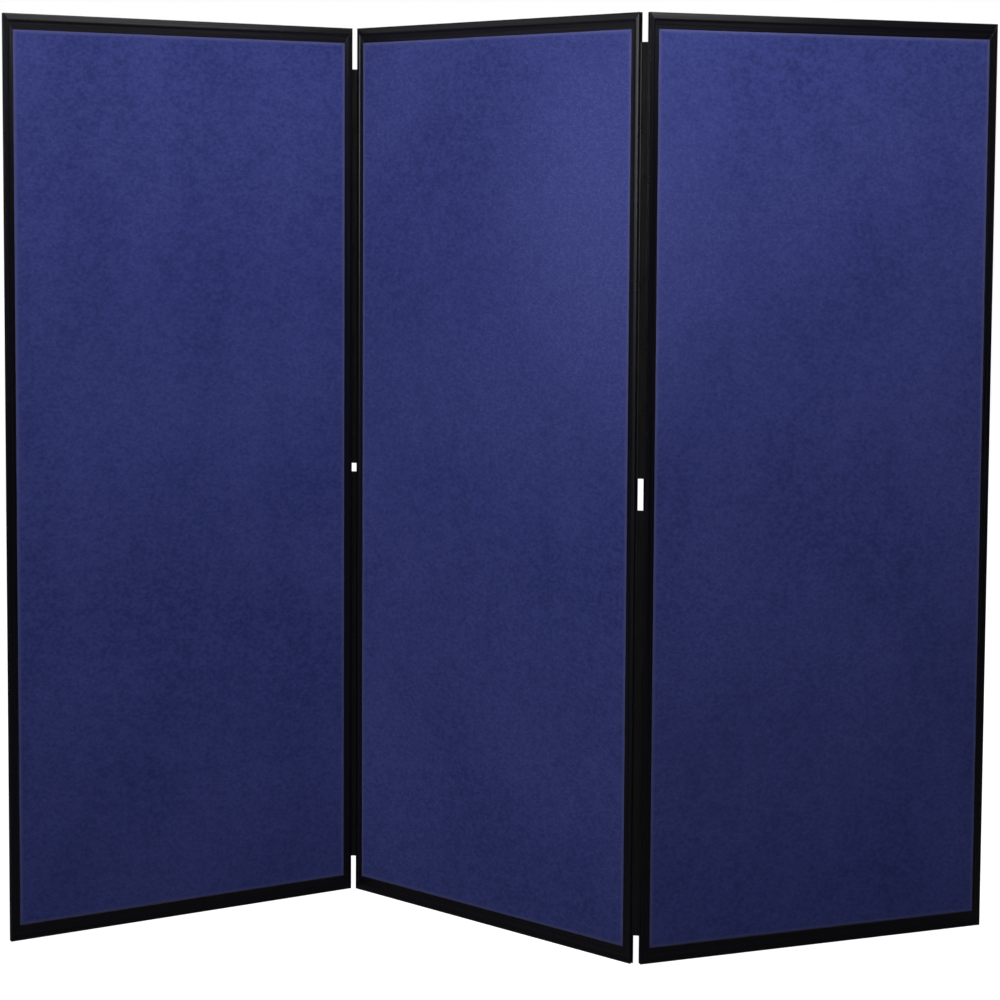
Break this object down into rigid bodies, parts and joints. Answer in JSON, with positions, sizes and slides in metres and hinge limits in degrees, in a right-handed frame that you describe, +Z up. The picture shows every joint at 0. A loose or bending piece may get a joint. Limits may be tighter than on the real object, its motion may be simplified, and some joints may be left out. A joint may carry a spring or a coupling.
{
  "type": "folding partition wall",
  "caption": "Free-standing folding partition wall of tall fabric-faced panels in black frames, joined edge to edge by flexible hinge strips that slide into the frames.",
  "frame": {"origin": "on the floor, at the middle of the wall's outline in plan", "axes": "+X to the right along the wall, +Y towards its back, +Z up; the front faces -Y"},
  "size_m": [1.9565, 0.5341, 1.829],
  "materials": {
    "frame": "black extruded rigid plastic, satin, mitred at the corners",
    "corner_key": "moulded plastic, dark grey, hidden inside the frame",
    "core_board": "fibreboard, hidden between the facings",
    "fabric": "navy blue brushed loop fabric, matt with a fine mottled pile",
    "strip_bead": "black stiff plastic bead of the hinge strip",
    "strip_web": "black flexible plastic web of the hinge strip, smooth satin"
  },
  "bodies": {
    "middle_panel": {"middle_panel_top_rail": "frame", "middle_panel_bottom_rail": "frame", "middle_panel_left_stile": "frame", "middle_panel_right_stile": "frame", "middle_panel_corner_keys": "corner_key", "middle_panel_core_board": "core_board", "middle_panel_front_fabric": "fabric", "middle_panel_back_fabric": "fabric", "left_upper_inner_bead": "strip_bead", "left_lower_inner_bead": "strip_bead", "right_upper_inner_bead": "strip_bead", "right_lower_inner_bead": "strip_bead"},
    "left_hinge": {"left_upper_web": "strip_web", "left_lower_web": "strip_web"},
    "left_panel": {"left_panel_top_rail": "frame", "left_panel_bottom_rail": "frame", "left_panel_left_stile": "frame", "left_panel_right_stile": "frame", "left_panel_corner_keys": "corner_key", "left_panel_core_board": "core_board", "left_panel_front_fabric": "fabric", "left_panel_back_fabric": "fabric", "left_upper_outer_bead": "strip_bead", "left_lower_outer_bead": "strip_bead"},
    "right_hinge": {"right_upper_web": "strip_web", "right_lower_web": "strip_web"},
    "right_panel": {"right_panel_top_rail": "frame", "right_panel_bottom_rail": "frame", "right_panel_left_stile": "frame", "right_panel_right_stile": "frame", "right_panel_corner_keys": "corner_key", "right_panel_core_board": "core_board", "right_panel_front_fabric": "fabric", "right_panel_back_fabric": "fabric", "right_upper_outer_bead": "strip_bead", "right_lower_outer_bead": "strip_bead"}
  },
  "joints": [
    {"name": "left_inner_bend", "type": "hinge", "parent": "middle_panel", "child": "left_hinge", "pos_m": [-0.30844, 0.26185, 0], "axis": [0, 0, 1], "range_deg": [-82, 53]},
    {"name": "left_outer_bend", "type": "hinge", "parent": "left_hinge", "child": "left_panel", "pos_m": [-0.32137, 0.26321, 0], "axis": [0, 0, 1], "range_deg": [-82, 53]},
    {"name": "right_inner_bend", "type": "hinge", "parent": "middle_panel", "child": "right_hinge", "pos_m": [0.25105, -0.25988, 0], "axis": [0, 0, 1], "range_deg": [-77, 58]},
    {"name": "right_outer_bend", "type": "hinge", "parent": "right_hinge", "child": "right_panel", "pos_m": [0.26381, -0.26236, 0], "axis": [0, 0, 1], "range_deg": [-77, 58]}
  ]
}
